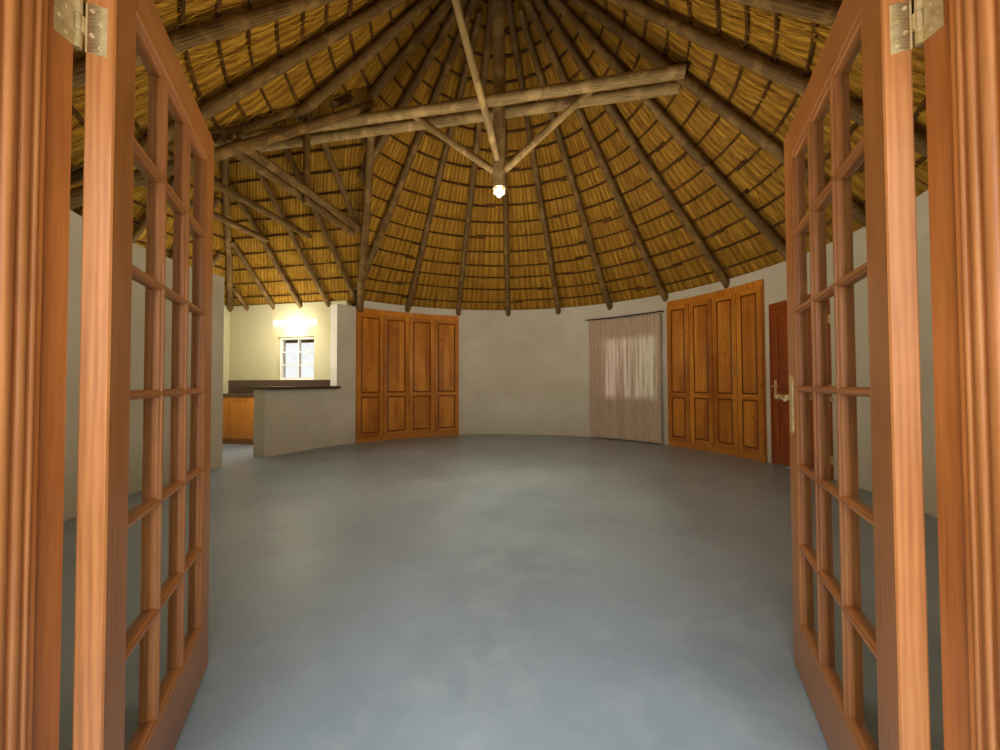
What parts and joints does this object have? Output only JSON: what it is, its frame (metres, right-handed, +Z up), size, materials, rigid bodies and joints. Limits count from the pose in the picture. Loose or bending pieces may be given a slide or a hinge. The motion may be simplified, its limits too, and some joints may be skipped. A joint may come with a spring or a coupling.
{
  "type": "rondavel hut",
  "caption": "Round thatched hut with a hipped kitchen wing, a pole roof on a king post, glazed doors that open inwards, a side door, a curtained window and wall cupboards.",
  "frame": {"origin": "middle of the round room, on the underside of the floor slab at ground level", "axes": "+Z up; +X to the right of someone walking in by the front doors; +Y into the room, so the front doors face -Y and the kitchen wing lies towards -X"},
  "size_m": [11.7526, 9.1126, 6.8317],
  "materials": {
    "floor_screed": "polished blue-grey cement screed",
    "plaster": "painted plaster, matt",
    "counter_stone": "dark polished top",
    "door_mahogany": "oiled red-brown hardwood",
    "window_paint": "painted wood",
    "clear_glass": "clear",
    "rod_iron": "dark painted iron",
    "curtain_cloth": "taupe woven cloth",
    "cupboard_pine": "varnished honey pine",
    "rafter_pole": "debarked gum poles, weathered brown",
    "lath_pole": "dark thin poles",
    "truss_pole": "debarked gum poles, grey-tan",
    "lamp_glass": "glossy pale",
    "thatch": "golden thatching grass",
    "ridge_mortar": "weathered cement mortar",
    "brass": "satin"
  },
  "bodies": {
    "hut": {"floor_slab": "floor_screed", "wall_front_left": "plaster", "wall_over_front_door": "plaster", "wall_front_right": "plaster", "wall_over_side_door": "plaster", "wall_right": "plaster", "wall_window": "plaster", "wall_back": "plaster", "partition_wall": "plaster", "kitchen_half_wall": "plaster", "kitchen_counter": "counter_stone", "wing_front_wall": "plaster", "wing_end_wall": "plaster", "wing_back_wall": "plaster", "left_jamb": "door_mahogany", "right_jamb": "door_mahogany", "door_head": "door_mahogany", "side_door_frame": "door_mahogany", "window_frame": "door_mahogany", "window_glass": "clear_glass", "kitchen_window_frame": "window_paint", "kitchen_units": "cupboard_pine", "strip_light": "lamp_glass", "curtain_rod": "rod_iron", "curtain": "curtain_cloth", "right_cupboard": "cupboard_pine", "left_cupboard": "cupboard_pine", "front_rafters": "rafter_pole", "back_rafters": "rafter_pole", "wing_rafters": "rafter_pole", "hip_rafters": "rafter_pole", "valley_rafters": "rafter_pole", "cone_laths": "lath_pole", "wing_laths": "lath_pole", "king_post": "truss_pole", "tie_beams": "truss_pole", "braces": "truss_pole", "collar_ties": "rafter_pole", "lamp": "lamp_glass", "thatch_front_left": "thatch", "thatch_front_right": "thatch", "thatch_right": "thatch", "thatch_back_right": "thatch", "thatch_back_left": "thatch", "thatch_left": "thatch", "thatch_wing_front": "thatch", "thatch_wing_back": "thatch", "thatch_wing_end": "thatch", "apex_cap": "ridge_mortar", "ridge_cap": "ridge_mortar", "jamb_hinges": "brass"},
    "left_leaf": {"left_leaf": "door_mahogany", "left_leaf_glass": "clear_glass", "left_leaf_hinges": "brass"},
    "right_leaf": {"right_leaf": "door_mahogany", "right_leaf_glass": "clear_glass", "right_leaf_hinges": "brass", "right_leaf_handle": "brass"},
    "side_door": {"side_door_leaf": "door_mahogany", "side_door_handle": "brass"}
  },
  "joints": [
    {"name": "left_leaf_swing", "type": "hinge", "parent": "hut", "child": "left_leaf", "pos_m": [-0.82, -3.58087, 1.126], "axis": [0, 0, 1], "range_deg": [-116, 30]},
    {"name": "right_leaf_swing", "type": "hinge", "parent": "hut", "child": "right_leaf", "pos_m": [0.82, -3.58087, 1.126], "axis": [0, 0, -1], "range_deg": [-116, 30]},
    {"name": "side_door_swing", "type": "hinge", "parent": "hut", "child": "side_door", "pos_m": [3.6874, -0.0739, 1.126], "axis": [0, 0, 1], "range_deg": [0, 110]}
  ]
}
